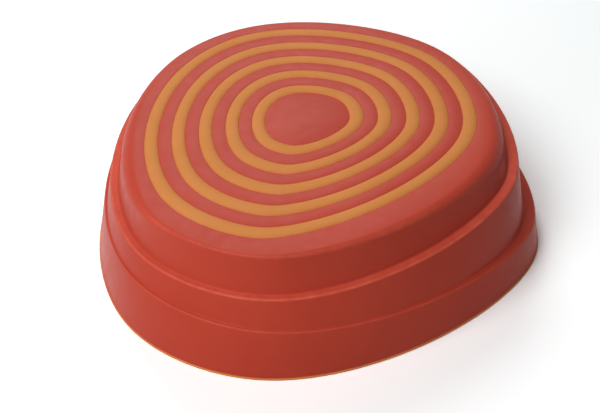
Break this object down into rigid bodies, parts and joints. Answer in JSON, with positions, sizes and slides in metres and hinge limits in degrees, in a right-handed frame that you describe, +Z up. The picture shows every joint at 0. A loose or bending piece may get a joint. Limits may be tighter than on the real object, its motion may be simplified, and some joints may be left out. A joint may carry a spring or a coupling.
{
  "type": "balance stepping hill",
  "caption": "Rounded hollow play hill in stepped tiers, with rubber grip rings let into its flat deck and a rubber rim under its foot.",
  "frame": {"origin": "on the floor, under the middle of the foot's outline", "axes": "+Z up, +X to the right and +Y away from the front side, which is the side the picture looks at"},
  "size_m": [0.3954, 0.4186, 0.1061],
  "materials": {
    "red_plastic": "smooth satin moulded plastic",
    "ring_rubber": "matte moulded rubber",
    "rim_rubber": "matte moulded rubber"
  },
  "bodies": {
    "root": {"shell": "red_plastic", "grip_ring_1": "ring_rubber", "grip_ring_2": "ring_rubber", "grip_ring_3": "ring_rubber", "grip_ring_4": "ring_rubber", "grip_ring_5": "ring_rubber", "base_rim": "rim_rubber"}
  },
  "joints": []
}
